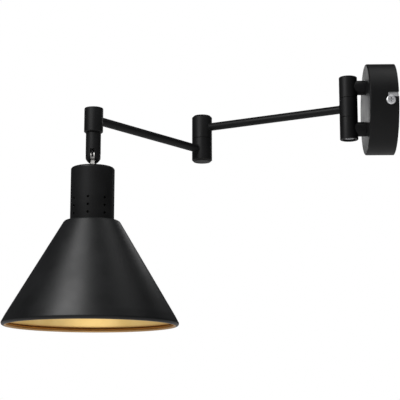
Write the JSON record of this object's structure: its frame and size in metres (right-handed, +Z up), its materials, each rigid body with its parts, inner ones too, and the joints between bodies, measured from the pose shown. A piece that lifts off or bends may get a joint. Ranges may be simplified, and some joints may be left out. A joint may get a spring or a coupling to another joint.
{
  "type": "swing arm wall sconce",
  "caption": "Wall lamp with a round canopy, two swinging tube arms on hinge barrels, and a swivelling, tilting socket cup with a black cone shade that is gold inside.",
  "frame": {"origin": "centre of the canopy's back on the wall plane, midway between the two wall screw holes", "axes": "+Z up, +Y into the wall, so the lamp stands out along -Y; +X to the right seen from the wall"},
  "size_m": [0.2495, 0.4133, 0.2919],
  "materials": {
    "black_coat": "satin black powder coat",
    "shade_coat": "satin black coat outside, gold paint inside",
    "zinc_steel": "bright zinc plate",
    "nickel": "bright nickel plate",
    "black_screw": "black oxide",
    "brass": "plain brass",
    "nylon": "black nylon",
    "white_plastic": "moulded",
    "black_plastic": "moulded phenolic",
    "ceramic": "glazed ceramic",
    "lead_sheath": "black sheath"
  },
  "bodies": {
    "wall": {"wall_bracket": "zinc_steel", "canopy_cup": "black_coat", "canopy_side_screws": "zinc_steel", "terminal_block": "white_plastic", "terminal_screws": "zinc_steel", "earth_screw": "brass", "upper_standoff": "black_coat", "lower_standoff": "black_coat", "standoff_nipples": "zinc_steel", "standoff_washers": "zinc_steel", "standoff_nuts": "zinc_steel", "upper_knuckle": "black_coat", "upper_knuckle_lid": "black_coat", "lower_knuckle": "black_coat", "hinge_nipple": "zinc_steel", "hinge_bolt": "zinc_steel", "hinge_washers": "nylon", "wall_lead": "lead_sheath"},
    "inner_arm": {"inner_knuckle": "black_coat", "inner_arm_tube": "black_coat", "elbow_upper_barrel": "black_coat", "elbow_top_lid": "black_coat", "elbow_nipple": "zinc_steel", "elbow_nut": "zinc_steel", "elbow_spring_washer": "zinc_steel", "elbow_seam_washer": "nylon", "inner_arm_lead": "lead_sheath"},
    "outer_arm": {"elbow_lower_barrel": "black_coat", "elbow_bottom_lid": "black_coat", "outer_arm_tube": "black_coat", "head_barrel": "black_coat", "head_barrel_lid": "black_coat", "outer_arm_lead": "lead_sheath"},
    "swivel_stem": {"swivel_fork": "black_coat", "swivel_washer": "zinc_steel", "swivel_nut": "zinc_steel", "swivel_seam_washer": "nylon", "tilt_screws": "black_screw", "stem_lead": "lead_sheath"},
    "lamp_head": {"tilt_tongue": "nickel", "socket_cup": "black_coat", "cup_lock_washer": "zinc_steel", "cup_nut": "zinc_steel", "lampholder_cap": "black_plastic", "lampholder_skirt": "black_plastic", "lampholder_base": "ceramic", "lampholder_terminal_screws": "zinc_steel", "lampholder_shell": "brass", "lampholder_centre_contact": "brass", "shade": "shade_coat", "shade_ring": "black_plastic", "head_lead": "lead_sheath"}
  },
  "joints": [
    {"name": "wall_hinge", "type": "hinge", "parent": "wall", "child": "inner_arm", "pos_m": [0, -0.049, 0.0016], "axis": [0, 0, 1], "range_deg": [-62.8, 117.2]},
    {"name": "elbow_hinge", "type": "hinge", "parent": "inner_arm", "child": "outer_arm", "pos_m": [-0.08411, -0.21265, 0.0016], "axis": [0, 0, 1], "range_deg": [-230.4, 69.6]},
    {"name": "head_swivel", "type": "hinge", "parent": "outer_arm", "child": "swivel_stem", "pos_m": [0.06323, -0.32287, -0.02615], "axis": [0, 0, 1], "range_deg": [-160, 160]},
    {"name": "head_tilt", "type": "hinge", "parent": "swivel_stem", "child": "lamp_head", "pos_m": [0.06323, -0.32287, -0.0652], "axis": [0, 1, 0], "range_deg": [-65, 65]}
  ]
}
